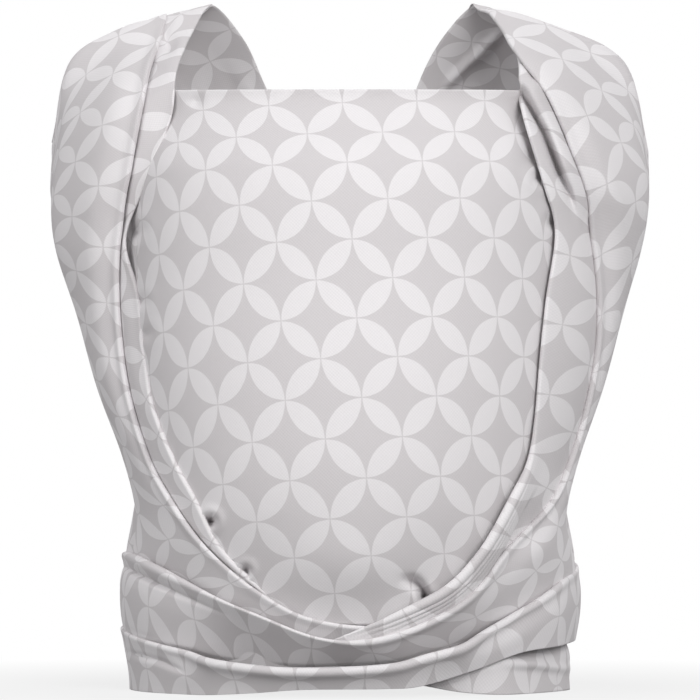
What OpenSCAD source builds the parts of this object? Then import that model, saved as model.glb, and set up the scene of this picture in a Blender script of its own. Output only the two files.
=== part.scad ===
// Woven baby wrap, tied as a front carry: one long cloth in its separate passes.
// X runs to the right as seen from the front, Y to the back, Z up.
// The lower rim of the waist turns stands on z = 0.

/* [Form] */
// Height from the lower rim to the top of the shoulders
wrap_h = 485; // [430:1:540]
// Width over the outer edges of the two shoulder straps
shoulder_w = 420; // [395:1:470]
// Gap beside the neck between the two straps
neck_w = 187; // [160:1:215]
// Width inside the cloth at the lower rim
rim_w = 274; // [255:1:300]
// Width inside the cloth at the belt turns
belt_w = 292; // [272:1:316]
// Width inside the cloth at the narrowest waist
waist_w = 282; // [262:1:306]
// Width inside the cloth at the chest
chest_w = 300; // [280:1:324]
// Reach of the seat in front of the shoulder line, at its fullest
seat_depth = 183; // [160:1:210]
// Reach of the back behind the shoulder line
back_depth = 102; // [85:1:125]

/* [Cloth] */
// Thickness of a gathered pass
pass_t = 1.8; // [1.2:0.1:2.2]
// Clearance between two layers of cloth
ply_gap = 1.2; // [1:0.1:2]
// Thickness of the single cloth of the seat panel
panel_t = 1.2; // [0.8:0.1:1.8]
// Height of a rolled edge over its pass
roll_h = 2; // [0.5:0.1:2.5]
// Height of the shoulder pleats over their pass
pleat_h = 2; // [0.5:0.1:2.5]
// Opening where two passes of the cloth meet end to end
seam_gap = 0.3; // [0.1:0.05:0.5]

/* [Seat panel] */
// Level of the panel's top edge, at its middle, which stretches with the wrap's height
panel_top = 412; // [380:1:430]
// Level of the panel's lower edge, which stretches with the wrap's height
panel_bottom = 48; // [40:1:60]
// Rise of the top edge towards the straps
panel_rise = 10; // [0:1:16]
// Height of the folded hem on the top edge
hem_h = 8; // [5:0.5:14]
// Thickness of a folded hem
hem_t = 2.4; // [1.6:0.1:3]

/* [Knot and tails] */
// Height of the knot
knot_z = 108; // [100:1:116]
// Radius of the gathered ends inside the knot
core_r = 9; // [7:0.5:11]
// Length of the gathered ends across the knot
core_l = 58; // [48:1:70]
// Thickness of the cloth that winds round the knot
wind_t = 11; // [8:0.5:13]
// Width of the cloth that winds round the knot
wind_w = 30; // [22:1:36]
// Width of a tail under the knot
tail_top_w = 15; // [10:0.5:18]
// Width of a tail at its end
tail_end_w = 58; // [40:1:70]
// Thickness of a gathered tail
tail_t = 4; // [3:0.2:6]
// Height of a tail's end above the rim's plane
tail_clear = 6; // [4:1:20]

/* [Hidden] */

cloth_pale = "#dcd9dc";
cloth_mid = "#cfcbcf";
cloth_deep = "#c2bec2";

// The form's levels were laid out at this height, and stretch with wrap_h
drawn_h = 485;
tall = wrap_h / drawn_h;

// Levels: rim, belt, waist, ribs, chest, armpit, top of the panel
levels = [0, 60, 126, 200, 280, 354, 408];
half_widths = [rim_w, belt_w, waist_w, (waist_w + chest_w) / 2, chest_w, chest_w, chest_w] / 2;
// How far the front falls back from the fullest reach at each level
front_fall = [38, 23, 1, 4, 22, 44, 83];
// How deep the front half of each level's outline is
front_arc = [135, 160, 155, 144, 136, 123, 118];
// How far the back falls in from its fullest reach at each level
back_fall = [2, 2, 4, 2, -3, -3, 7];

// Puts the origin under the middle of the tied wrap's depth
middle_y = 22.4;

// Angle from the front at which the panel ends and the wings begin
panel_angle = 76;
// Distance from one layer of cloth to the next
pitch = pass_t + ply_gap;
// How far the straps sit to the left of the middle
neck_shift = 4.5;
neck_left = neck_w / 2 + neck_shift;
neck_right = neck_w / 2 - neck_shift;

// Smooth value through one number per level
function level_below(z) = max([for (i = [0 : len(levels) - 2]) if (i == 0 || z >= levels[i]) i]);
function slope(v, i) =
    i == 0 || i == len(v) - 1 ? 0 : (v[i + 1] - v[i - 1]) / (levels[i + 1] - levels[i - 1]);
function at_level(v, z, i) =
    let (h = levels[i + 1] - levels[i], t = min(max((z - levels[i]) / h, 0), 1), s = 1 - t)
    v[i] * s * s * (1 + 2 * t) + v[i + 1] * t * t * (3 - 2 * t)
    + h * (slope(v, i) * t * s * s - slope(v, i + 1) * t * t * s);

// Point on the form: angle from the front, level, and distance off the form
function on_form(angle, z, off = 0) =
    let (
        i = level_below(z),
        a = at_level(half_widths, z, i),
        f = at_level(front_arc, z, i),
        mid = f - seat_depth + at_level(front_fall, z, i),
        d = cos(angle) >= 0 ? f : back_depth - at_level(back_fall, z, i) - mid,
        n = [sin(angle) / a, -cos(angle) / d]
    )
    [
        a * sin(angle) + off * n.x / norm(n),
        middle_y + mid - d * cos(angle) + off * n.y / norm(n),
        z * tall
    ];

// Point on a shoulder strap: 0 at the neck, 1 at the shoulder's outer edge
function on_left(u, y, z) = [-neck_left - u * (shoulder_w / 2 - neck_left), y + middle_y, z * tall];
function on_right(u, y, z) = [neck_right + u * (shoulder_w / 2 - neck_right), y + middle_y, z * tall];
function on_strap(side, u, y, z) = side < 0 ? on_left(u, y, z) : on_right(u, y, z);
function ply(n) = n * pitch;
function top_edge(angle) = panel_top + panel_rise * (1 - cos(angle));
function hem_line(angle) = top_edge(angle) - hem_h / tall;

// Points across a pass, from its upper or inner edge to its lower or outer edge
ribs = 12;
function strip(angle_a, z_a, angle_b, z_b, off_a, off_b) = [
    for (k = [0 : ribs])
        let (share = k / ribs)
        on_form(
            angle_a + (angle_b - angle_a) * share,
            z_a + (z_b - z_a) * share,
            off_a + (off_b - off_a) * share
        )
];
function spread(row) = [for (k = [0 : ribs]) through(row, (len(row) - 1) * k / ribs)];
function left_row(points) = spread([for (p = points) on_left(p.x, p.y, p.z)]);
function right_row(points) = spread([for (p = points) on_right(p.x, p.y, p.z)]);
function form_row(points) = spread([for (p = points) on_form(p.x, p.y, p.z)]);
function band(angle, top, low, layer) = strip(angle, top, angle, low, ply(layer), ply(layer));

// The knot lies against the form
wind_r = core_r + seam_gap;
knot_off = wind_r + wind_t;

knot_y = on_form(180, knot_z / tall, knot_off).y;

// Where a gathered end goes into the knot, on the right (1) or the left (-1)
function knot_entry(side) = [
    for (k = [0 : ribs])
        [side * (core_l / 2 + 2 * seam_gap), knot_y, knot_z + core_r * (1 - 2 * k / ribs)]
];

// Left strap's inner lap, from behind the shoulder to the crossing
left_inner = [
    left_row([[-0.09, 76, 463], [0.03, 79, 456], [0.15, 80, 448], [0.28, 80, 437]]),
    left_row([[0, 50, 484], [0.1, 50, 481], [0.2, 48, 477], [0.31, 46, 471]]),
    left_row([[0.1, 20, 463], [0.18, 18, 461], [0.26, 16, 457], [0.36, 14, 451]]),
    left_row([[0.2, -61, 414], [0.28, -58, 412], [0.36, -52, 408], [0.46, -41, 403]]),
    left_row([[0.34, -70, 364], [0.4, -66, 361], [0.48, -57, 357], [0.58, -42, 352]]),
    left_row([[0.49, -56, 318], [0.52, -52, 316], [0.57, -45, 313], [0.64, -33, 309]]),
    strip(-72, 256, -94, 257, ply(1), 17),
    strip(-66, 205, -92, 207, ply(1), 12),
    strip(-55, 161, -76, 162, ply(1), 4),
    strip(-45, 131, -60, 128, ply(1), ply(1)),
    strip(-35, 98, -46, 93, ply(1), ply(1)),
    strip(-23, 73, -30, 65, ply(1), ply(1)),
    strip(-12, 55, -16, 47, ply(1), ply(1))
];

// Layer of the last turn across the front
front_ply = 5.4;

// Left strap's outer lap from the shoulder, then the same cloth under the seat, round
// the right waist and the back, across the front again and round to the knot
left_run = [
    left_row([[0.22, 81, 442], [0.53, 77, 414], [0.78, 70, 378], [0.88, 66, 360]]),
    left_row([[0.25, 47, 479], [0.61, 43, 461], [0.9, 41, 440], [1, 43, 385]]),
    left_row([[0.29, 14, 461], [0.61, 13, 444], [0.9, 22, 415], [1.01, 32, 370]]),
    left_row([[0.4, -56, 410], [0.66, -36, 401], [0.93, 0, 380], [1.01, 22, 347]]),
    left_row([[0.48, -64, 357], [0.73, -43, 352], [0.98, -2, 342], [0.97, 18, 328]]),
    left_row([[0.545, -59, 310], [0.73, -41, 308], [0.95, -4, 307], [0.93, 14, 298]]),
    form_row([[-79, 257, 16], [-88, 258, 28], [-99, 260, 44], [-105, 252, 44]]),
    form_row([[-76, 207, 13], [-85, 208, 21], [-98, 210, 32], [-105, 202, 31]]),
    form_row([[-66, 161, 7], [-76, 163, 11], [-93, 164, 16], [-103, 157, 15]]),
    strip(-53, 131, -95, 120, ply(2), 7),
    strip(-39, 101, -80, 74, ply(2), ply(2)),
    strip(-22, 71, -50, 34, ply(2), ply(2)),
    strip(-7, 53, -22, 10, ply(2), ply(2)),
    strip(14, 50, 14, 0, ply(2), ply(2)),
    strip(42, 60, 42, 0, ply(2), ply(4)),
    strip(75, 76, 75, 0, ply(2), ply(5)),
    strip(98, 66, 98, 0, ply(2), ply(4)),
    band(125, 50, 0, 1),
    band(155, 40, 0, 1),
    band(185, 36, 0, 1),
    band(215, 36, 0, 2),
    band(240, 41, 0, 4.8),
    band(265, 47, 0, front_ply),
    band(292, 41, 0, front_ply),
    band(315, 31, 0, front_ply),
    band(332, 25, 0, front_ply),
    band(348, 20, 0, front_ply),
    band(369, 21, 0, front_ply),
    band(379, 27, 4, front_ply),
    strip(391, 40, 393, 16, ply(front_ply), ply(front_ply)),
    strip(411, 65, 409, 28, ply(front_ply), ply(front_ply)),
    band(428, 80, 32, 5.1),
    band(452, 90, 36, 4.7),
    band(480, 100, 50, 4),
    band(508, 116, 74, 3),
    knot_entry(1)
];

// Right strap's inner lap, from behind the shoulder to the crossing
right_inner = [
    right_row([[-0.1, 74, 463], [0.01, 77, 457], [0.12, 79, 450], [0.24, 80, 441]]),
    right_row([[0, 45, 485], [0.08, 46, 483], [0.16, 46, 481], [0.26, 45, 477]]),
    right_row([[0.12, 12, 462], [0.18, 12, 461], [0.24, 12, 459], [0.32, 12, 456]]),
    right_row([[0.19, -44, 437], [0.25, -43, 435], [0.32, -40, 432], [0.42, -33, 427]]),
    right_row([[0.235, -76, 396], [0.31, -69, 393], [0.4, -59, 389], [0.52, -45, 381]]),
    right_row([[0.34, -85, 350], [0.43, -77, 346], [0.54, -63, 342], [0.66, -44, 335]]),
    strip(64, 315, 93, 309, 5, 25),
    strip(59, 268, 96, 268, 5, 28),
    strip(57, 228, 95, 228, 5, 26),
    strip(56, 185, 93, 188, 5, 19),
    strip(53, 155, 80, 148, 6, ply(3)),
    strip(44, 128, 66, 117, ply(3), ply(3)),
    strip(34, 97, 49, 81, ply(3), ply(3)),
    strip(23, 72, 33, 55, ply(3), ply(3)),
    strip(9, 56, 14, 38, ply(3), ply(3)),
    strip(-5, 45, -3, 33, ply(3), ply(3))
];

// Right strap's outer lap from the shoulder, then the same cloth over the crossing
// under the seat, round the left waist and on to the knot
right_run = [
    right_row([[0.17, 81, 446], [0.48, 78, 418], [0.76, 70, 380], [0.88, 66, 360]]),
    right_row([[0.2, 46, 482], [0.55, 43, 465], [0.88, 41, 442], [1, 43, 385]]),
    right_row([[0.24, 8, 465], [0.58, 11, 448], [0.9, 22, 416], [1.01, 32, 370]]),
    right_row([[0.29, -49, 435], [0.6, -29, 419], [0.92, 4, 390], [1.01, 26, 350]]),
    right_row([[0.41, -66, 393], [0.67, -44, 387], [0.96, -2, 366], [1, 20, 338]]),
    right_row([[0.57, -67, 349], [0.78, -46, 347], [0.98, -5, 338], [0.96, 16, 322]]),
    right_row([[0.66, -55, 304], [0.78, -39, 305], [0.94, -3, 307], [0.92, 15, 298]]),
    form_row([[82, 257, 27], [89, 258, 35], [99, 260, 44], [105, 252, 44]]),
    form_row([[82, 208, 24], [89, 209, 28], [98, 210, 32], [105, 202, 31]]),
    form_row([[77, 160, 15], [85, 161, 16], [93, 163, 16], [103, 157, 15]]),
    form_row([[63, 127, ply(4)], [72, 126, ply(4)], [83, 124, 9], [95, 120, 7]]),
    strip(46, 99, 80, 72, ply(4), ply(4)),
    strip(28, 66, 50, 37, ply(4), ply(4)),
    strip(9, 44, 20, 8, ply(4), ply(4)),
    strip(-6, 43, -8, 4, ply(4), ply(4)),
    band(-24, 60, 8, 4),
    band(-50, 78, 16, 4),
    band(-73, 89, 22, 4),
    band(-100, 92, 26, 4),
    band(-125, 101, 46, 3.2),
    band(-148, 116, 74, 3),
    knot_entry(-1)
];

// Angle and level of the upper and lower edge of one shoulder's cloth, from the shoulder blade
// across the back and round the far side to the panel, and past the panel's edge
back_plan = [
    [[195, 393], [238, 284]],
    [[178, 338], [222, 223]],
    [[160, 302], [201, 182]],
    [[142, 284], [177, 152]],
    [[118, 290], [143, 124]],
    [[104, 322], [112, 108]],
    [[90, 372], [91, 92]],
    for (angle = [panel_angle, panel_angle - 14])
        [[angle, hem_line(angle)], [angle, panel_bottom]]
];
// Place in the plan where the wing starts, and where it lies on the form
wing_start = 4;
wing_lies = 5.5;
// Place where the slack top of the wing stands off the form, and how far
wing_side = 6;
billow = 6;

// Room behind the laps where they meet the cloth of the back
crest_gap = 0.8;

// One shoulder's cloth down the back and round the far side to the panel's edge;
// side is -1 for the left shoulder, over the number of layers it lies off the form
function back_run(side, over) = [
    spread([
        on_strap(side, 0.1, 20, 463), on_strap(side, 0.43, 14, 451),
        on_strap(side, 0.85, 18, 420), on_strap(side, 1.01, 32, 370)
    ]),
    spread([
        on_strap(side, 0, 50 + crest_gap, 484), on_strap(side, 0.42, 46 + crest_gap, 470),
        on_strap(side, 0.86, 42 + crest_gap, 443), on_strap(side, 1, 43 + crest_gap, 385)
    ]),
    spread([
        on_strap(side, -0.2, 78, 461), on_strap(side, 0.2, 82, 438),
        on_strap(side, 0.57, 76, 405), on_strap(side, 0.87, 63, 364)
    ]),
    spread([
        on_strap(side, -0.34, 98, 428), on_strap(side, -0.02, 98, 396),
        on_strap(side, 0.26, 82, 362), on_strap(side, 0.5, 60, 330)
    ]),
    for (w = [0 : 0.5 : len(back_plan) - 1])
        let (
            row = through(back_plan, w),
            off = ply(over) * fade(w, wing_start, wing_lies),
            puff = billow * (fade(w, wing_side, wing_side + 1) - fade(w, wing_side - 1, wing_side))
        )
        strip(-side * row[0].x, row[0].y, -side * row[1].x, row[1].y, off + puff, off)
];
left_back = back_run(-1, 1);
right_back = back_run(1, 2.8);

// Smooth row or point at place t of a list, through every entry
function through(list, t) =
    let (
        n = len(list),
        i = min(max(floor(t), 0), n - 2),
        f = t - i,
        b = list[i],
        c = list[i + 1],
        a = i > 0 ? list[i - 1] : 2 * b - c,
        d = i + 2 < n ? list[i + 2] : 2 * c - b
    )
    b + (c - a) * f / 2 + (2 * a - 5 * b + 4 * c - d) * f * f / 2 + (3 * b - a - 3 * c + d) * f * f * f / 2;

// Share of a station that makes half a seam gap
function seam(run, i) = seam_gap / 2 / norm(run[i + 1][1] - run[i][1]);

// Grid of points on the stretch of a run between two stations, kept above the rim's plane,
// with one more row past each end
function stretch(run, from, to, along, across) =
    let (t0 = from + seam(run, from), t1 = to - seam(run, to - 1))
    [
        for (i = [-1 : along + 1])
            let (row = through(run, t0 + (t1 - t0) * i / along))
            [
                for (j = [0 : across])
                    let (p = through(row, (len(row) - 1) * j / across))
                    [p.x, p.y, max(p.z, 0)]
            ]
    ];

function unit(v) = v / norm(v);
function normal(g, i, j) =
    let (
        du = g[i + 1][j] - g[i - 1][j],
        dv = g[i][min(j + 1, len(g[0]) - 1)] - g[i][max(j - 1, 0)],
        n = cross(du, dv),
        on_rim = g[i][j].z < 0.001
    )
    unit([n.x, n.y, on_rim ? 0 : n.z]);

flat = function (u, v) 0;
function fade(v, from, to) = let (t = min(max((v - from) / (to - from), 0), 1)) 1 - t * t * (3 - 2 * t);

// Closed sheet of cloth over a grid, whose first and last rows only set the slope of the ends;
// relief raises its outer skin at u across and v along
module sheet(g, t, relief = flat) {
    n = len(g) - 3;
    m = len(g[0]) - 1;
    mid = [floor(n / 2) + 1, floor(m / 2)];
    centre = [0, middle_y, wrap_h * 0.6];
    outer_up = normal(g, mid.x, mid.y) * (g[mid.x][mid.y] - centre) > 0;
    function skin(up) = [
        for (i = [0 : n], j = [0 : m])
            let (raised = up == outer_up ? relief(j / m, i / n) : 0)
            g[i + 1][j] + normal(g, i + 1, j) * (up ? 1 : -1) * (t / 2 + raised)
    ];
    function a(i, j) = i * (m + 1) + j;
    function b(i, j) = (n + 1) * (m + 1) + a(i, j);
    faces = [
        for (i = [0 : n - 1], j = [0 : m - 1]) each [
            [a(i, j), a(i, j + 1), a(i + 1, j + 1)], [a(i, j), a(i + 1, j + 1), a(i + 1, j)],
            [b(i, j), b(i + 1, j + 1), b(i, j + 1)], [b(i, j), b(i + 1, j), b(i + 1, j + 1)]
        ],
        for (j = [0 : m - 1]) each [
            [a(0, j + 1), a(0, j), b(0, j)], [a(0, j + 1), b(0, j), b(0, j + 1)],
            [a(n, j), a(n, j + 1), b(n, j + 1)], [a(n, j), b(n, j + 1), b(n, j)]
        ],
        for (i = [0 : n - 1]) each [
            [a(i, 0), a(i + 1, 0), b(i + 1, 0)], [a(i, 0), b(i + 1, 0), b(i, 0)],
            [a(i + 1, m), a(i, m), b(i, m)], [a(i + 1, m), b(i, m), b(i + 1, m)]
        ]
    ];
    polyhedron(concat(skin(true), skin(false)), faces);
}

// Rolled edge along the start of a pass, and pleats across it
function roll(u, width) = roll_h * exp(-pow(u / width, 2));
function pleats(u, count) = pleat_h * (0.5 - 0.5 * cos(360 * count * u));

function panel_grid(low, high, across) =
    let (side = panel_angle - seam_gap / chest_w * 180 / PI, along = 18)
    [
        for (i = [-1 : along + 1])
            let (angle = side * (2 * i / along - 1), z0 = low(angle), z1 = high(angle))
            [for (j = [0 : across]) on_form(angle, z0 + (z1 - z0) * j / across)]
    ];

module front_panel()
    color(cloth_pale)
        sheet(
            panel_grid(function (angle) panel_bottom, function (angle) hem_line(angle), ribs),
            panel_t
        );

module panel_top_hem()
    color(cloth_mid)
        sheet(
            panel_grid(function (angle) hem_line(angle) + 2 * seam_gap, function (angle) top_edge(angle), 1),
            hem_t
        );

module left_wing()
    color(cloth_mid)
        sheet(stretch(right_back, 12, 18, 9, ribs), pass_t);

module right_wing()
    color(cloth_mid)
        sheet(stretch(left_back, 12, 18, 9, ribs), pass_t);

back_pleats = function (u, v) pleats(u, 2) * fade(v, 0.1, 0.4) / 2;

module left_back_pass()
    color(cloth_mid)
        sheet(stretch(left_back, 1, 12, 20, ribs), pass_t, back_pleats);

module right_back_pass()
    color(cloth_mid)
        sheet(stretch(right_back, 1, 12, 20, ribs), pass_t, back_pleats);

module left_strap_inner_lap()
    color(cloth_deep)
        sheet(stretch(left_inner, 1, 12, 33, 4), pass_t);

module left_strap_outer_lap()
    color(cloth_pale)
        sheet(stretch(left_run, 1, 10, 27, 10), pass_t, function (u, v) roll(u, 0.1));

module right_strap_inner_lap()
    color(cloth_deep)
        sheet(
            stretch(right_inner, 1, 15, 36, 8), pass_t,
            function (u, v) pleats(min(u, 2 / 3), 3) * fade(v, 0.25, 0.45)
        );

module right_strap_outer_lap()
    color(cloth_pale)
        sheet(stretch(right_run, 1, 11, 30, 10), pass_t, function (u, v) roll(u, 0.1));

module cross_under_pass()
    color(cloth_mid)
        sheet(stretch(left_run, 10, 15, 20, 6), pass_t);

module cross_over_pass()
    color(cloth_pale)
        sheet(stretch(right_run, 11, 18, 28, 8), pass_t, function (u, v) roll(u, 0.15));

module right_waist_turn()
    color(cloth_mid)
        sheet(stretch(left_run, 15, 17, 8, 6), pass_t);

module back_waist_turn()
    color(cloth_mid)
        sheet(stretch(left_run, 17, 20, 12, 6), pass_t);

module left_waist_turn()
    color(cloth_mid)
        sheet(stretch(left_run, 20, 22, 8, 6), pass_t);

module front_waist_turn()
    color(cloth_pale)
        sheet(stretch(left_run, 22, 32, 36, 6), pass_t, function (u, v) roll(u, 0.25));

module right_waist_end()
    color(cloth_mid)
        sheet(stretch(left_run, 32, 35, 12, 6), pass_t);

module left_waist_end()
    color(cloth_mid)
        sheet(stretch(right_run, 18, 21, 12, 6), pass_t);

// Gathered ends that run through the knot
module knot_core()
    color(cloth_mid)
        translate([0, knot_y, knot_z])
            rotate([0, 90, 0])
                cylinder(r = core_r, h = core_l, center = true);

// Cloth wound once round the gathered ends, with its folds
module knot_winding() {
    folds = 3;
    fold_depth = wind_t / 6;
    steps = 24;
    outline = [
        for (k = [0 : steps])
            let (x = k / steps, bulge = wind_t * pow(sin(180 * x), 0.35))
            [wind_r + max(bulge - fold_depth * pow(cos(180 * folds * x), 2), 0.5), wind_w * (x - 0.5)]
    ];
    color(cloth_pale)
        translate([0, knot_y, knot_z])
            rotate([0, 90, 0])
                rotate_extrude($fn = 64)
                    polygon(concat([[wind_r, -wind_w / 2]], outline, [[wind_r, wind_w / 2]]));
}

tail_gap = 0.8;
tail_top = knot_z - wind_r - wind_t - tail_gap;
tail_skin = 1.2;
tail_lean = 6;
tail_split = 1;

// Grid of a tail between two shares of its length, on the left (-1) or the right (1)
function tail_grid(side, from, to, along, across) = [
    for (i = [-1 : along + 1])
        let (
            v = from + (to - from) * i / along,
            width = tail_top_w + (tail_end_w - tail_top_w) * v,
            inner = tail_split / 2 + v * tail_lean
        )
        [
            for (j = [0 : across])
                [
                    side * (inner + width * j / across),
                    knot_y + tail_lean * v,
                    tail_top - (tail_top - tail_clear) * v
                ]
        ]
];
hem_from = 1 - hem_h / (tail_top - tail_clear);
hem_seam = seam_gap / (tail_top - tail_clear);
tail_folds = function (u, v) (tail_t - tail_skin) * (1 - fade(v, 0, 0.4)) * (0.5 - 0.5 * cos(360 * 3 * u));

module tail(side)
    sheet(tail_grid(side, 0, hem_from - hem_seam, 8, 12), tail_skin, tail_folds);

module tail_hem(side)
    sheet(tail_grid(side, hem_from, 1, 1, 6), hem_t);

module left_tail() color(cloth_pale) tail(-1);
module left_tail_hem() color(cloth_mid) tail_hem(-1);
module right_tail() color(cloth_pale) tail(1);
module right_tail_hem() color(cloth_mid) tail_hem(1);

front_panel();
panel_top_hem();
left_wing();
right_wing();
left_back_pass();
right_back_pass();
left_strap_inner_lap();
left_strap_outer_lap();
right_strap_inner_lap();
right_strap_outer_lap();
cross_under_pass();
cross_over_pass();
right_waist_turn();
back_waist_turn();
left_waist_turn();
front_waist_turn();
left_waist_end();
right_waist_end();
knot_core();
knot_winding();
left_tail();
left_tail_hem();
right_tail();
right_tail_hem();
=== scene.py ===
"""Woven cotton baby wrap, tied as a front carry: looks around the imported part.

Lengths are in millimetres on the cloth's own lines and in metres on the finished meshes.
X runs to the right as seen from the front, Y to the back, Z up.
"""

import copy
import math

import bmesh
import bpy
import numpy as np
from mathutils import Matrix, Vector


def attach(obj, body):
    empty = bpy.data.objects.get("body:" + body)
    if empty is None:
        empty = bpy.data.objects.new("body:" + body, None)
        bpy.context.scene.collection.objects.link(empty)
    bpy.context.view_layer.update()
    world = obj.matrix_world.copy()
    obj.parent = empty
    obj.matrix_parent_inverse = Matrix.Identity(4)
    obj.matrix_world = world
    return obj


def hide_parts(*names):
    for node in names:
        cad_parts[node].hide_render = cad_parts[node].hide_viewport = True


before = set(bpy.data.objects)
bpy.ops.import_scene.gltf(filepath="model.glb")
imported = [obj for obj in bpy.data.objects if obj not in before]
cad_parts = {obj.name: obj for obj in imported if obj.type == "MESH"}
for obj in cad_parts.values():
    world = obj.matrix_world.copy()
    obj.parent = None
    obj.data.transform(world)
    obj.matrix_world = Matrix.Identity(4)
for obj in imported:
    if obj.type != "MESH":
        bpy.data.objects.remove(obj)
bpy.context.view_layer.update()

MM = 0.001
PER_METRE = 1000
TINY = 1e-9

# The form under the cloth at seven levels: rim, belt, waist, ribs, chest, armpit, panel's top.
# Half its width, how far its front falls back behind the seat, how deep its front half is, and
# how far its back falls in
LEVELS = np.array([0, 60, 126, 200, 280, 354, 408], float)
HALF_WIDTHS = np.array([137, 146, 141, 145.5, 150, 150, 150], float)
FRONT_FALL = np.array([38, 23, 1, 4, 22, 44, 83], float)
FRONT_ARC = np.array([135, 160, 155, 144, 136, 123, 118], float)
BACK_FALL = np.array([2, 2, 4, 2, -3, -3, 7], float)
SEAT_DEPTH = 183
BACK_DEPTH = 102
MIDDLE_Y = 22.4
MIDDLE_Z = 291

# Shoulder straps
SHOULDER = 210
NECK_LEFT = 98
NECK_RIGHT = 89

# Layers of cloth: from one to the next, and how many lie under the front turn of the waist
PITCH = 3.0
FRONT_PLY = 5.4
# Spaces between the points of a row across the cloth
RIBS = 12

# Seat panel
PANEL_ANGLE = 76
PANEL_TOP = 408.5
PANEL_BOTTOM = 48
PANEL_RISE = 10
HEM_H = 8

# Knot: its core of gathered ends, the cloth wound round it, and the waist's ends beside it
KNOT_Z = 108
CORE_R = 9
CORE_L = 58
CORE_FOLD = 0.8
CORE_FOLDS = 9
WIND_R = 9.3
WIND_T = 11
WIND_W = 30
WIND_TURNS = 3
ENTRY_GAP = 0.6

# Tails under the knot
TAIL_GAP = 0.8
TAIL_TOP_W = 15
TAIL_END_W = 58
TAIL_CLEAR = 6
TAIL_LEAN = 6
TAIL_SPLIT = 1
TAIL_PLEATS = 3
TAIL_PLEAT_TOP = 0.6
TAIL_PLEAT_MORE = 2.6

# Thickness of the cloth and of a sewn hem as it looks at an edge, and the radius of a hem's fold
CLOTH_T = 0.9
HEM_T = 1.9
HEM_FOLD = 0.6

# An edge rolls under by so many degrees, in so many steps
EDGE_TURN = 230
HEM_TURN = 150
ROLL_STEPS = 9


def rise(values, z):
    """Smooth value at height z through one number per level."""
    slope = np.zeros_like(values)
    slope[1:-1] = (values[2:] - values[:-2]) / (LEVELS[2:] - LEVELS[:-2])
    i = np.clip(np.searchsorted(LEVELS, z, side="right") - 1, 0, len(LEVELS) - 2)
    h = LEVELS[i + 1] - LEVELS[i]
    t = np.clip((z - LEVELS[i]) / h, 0, 1)
    s = 1 - t
    ends = values[i] * s * s * (1 + 2 * t) + values[i + 1] * t * t * (3 - 2 * t)
    return ends + h * (slope[i] * t * s * s - slope[i + 1] * t * t * s)


def on_form(angle, z, off=0.0):
    """Point on the form: angle from the front, height, and distance off the form."""
    angle, z, off = np.broadcast_arrays(np.radians(angle), np.asarray(z, float), off)
    wide = rise(HALF_WIDTHS, z)
    front = rise(FRONT_ARC, z)
    middle = front - SEAT_DEPTH + rise(FRONT_FALL, z)
    back = BACK_DEPTH - rise(BACK_FALL, z) - middle
    deep = np.where(np.cos(angle) >= 0, front, back)
    nx = np.sin(angle) / wide
    ny = -np.cos(angle) / deep
    n = np.hypot(nx, ny)
    x = wide * np.sin(angle) + off * nx / n
    y = MIDDLE_Y + middle - deep * np.cos(angle) + off * ny / n
    return np.stack([x, y, z], -1)


def through(rows, t):
    """Smooth rows or points at places t of a list, through every entry."""
    rows = np.asarray(rows, float)
    ends = np.concatenate([[2 * rows[0] - rows[1]], rows, [2 * rows[-1] - rows[-2]]])
    t = np.atleast_1d(np.asarray(t, float))
    i = np.clip(np.floor(t).astype(int), 0, len(rows) - 2)
    f = (t - i).reshape((-1,) + (1,) * (rows.ndim - 1))
    a, b, c, d = ends[i], ends[i + 1], ends[i + 2], ends[i + 3]
    bend = (2 * a - 5 * b + 4 * c - d) * f * f / 2
    return b + (c - a) * f / 2 + bend + (3 * b - a - 3 * c + d) * f**3 / 2


def spread(points):
    """A row of cloth through a few points across it."""
    return through(points, np.linspace(0, len(points) - 1, RIBS + 1))


def strip(angle_a, z_a, angle_b, z_b, off_a, off_b):
    """A row of cloth on the form, from its first edge a to its last edge b."""
    share = np.linspace(0, 1, RIBS + 1)
    return on_form(
        angle_a + (angle_b - angle_a) * share,
        z_a + (z_b - z_a) * share,
        off_a + (off_b - off_a) * share,
    )


def ply(n):
    """Distance off the form of the cloth that lies over n layers."""
    return n * PITCH


def band(angle, top, low, layer):
    """A row straight down the form."""
    return strip(angle, top, angle, low, ply(layer), ply(layer))


def on_strap(side, u, y, z):
    """Point on a shoulder strap: u is 0 at the neck and 1 at the shoulder's outer edge."""
    neck = NECK_LEFT if side < 0 else NECK_RIGHT
    return np.array([side * (neck + u * (SHOULDER - neck)), y + MIDDLE_Y, z])


def left_row(*points):
    return spread([on_strap(-1, *p) for p in points])


def right_row(*points):
    return spread([on_strap(1, *p) for p in points])


def form_row(*points):
    return spread([on_form(*p) for p in points])


def top_edge(angle):
    return PANEL_TOP + PANEL_RISE * (1 - np.cos(np.radians(angle)))


def hem_line(angle):
    return top_edge(angle) - HEM_H


def fade(v, start, end):
    """1 before start, 0 after end, smooth between."""
    t = np.clip((v - start) / (end - start), 0, 1)
    return 1 - t * t * (3 - 2 * t)


def grow(v, start, end):
    """0 before start, 1 after end, smooth between."""
    return 1 - fade(v, start, end)


def swell(v, start, full, ebb, end):
    """0 before start and after end, 1 from full to ebb, smooth between."""
    return grow(v, start, full) * fade(v, ebb, end)


def bell(v, width):
    """1 at 0, falling off smoothly to both sides."""
    return np.exp(-((v / width) ** 2))


KNOT_Y = float(on_form(180, KNOT_Z, WIND_R + WIND_T)[1])
TAIL_TOP = KNOT_Z - WIND_R - WIND_T - TAIL_GAP


def knot_entry(side):
    """The row where the waist's end meets the knot."""
    z = KNOT_Z + CORE_R * (1 - 2 * np.linspace(0, 1, RIBS + 1))
    x = np.full_like(z, side * (CORE_L / 2 + ENTRY_GAP))
    return np.stack([x, np.full_like(z, KNOT_Y), z], -1)


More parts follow.
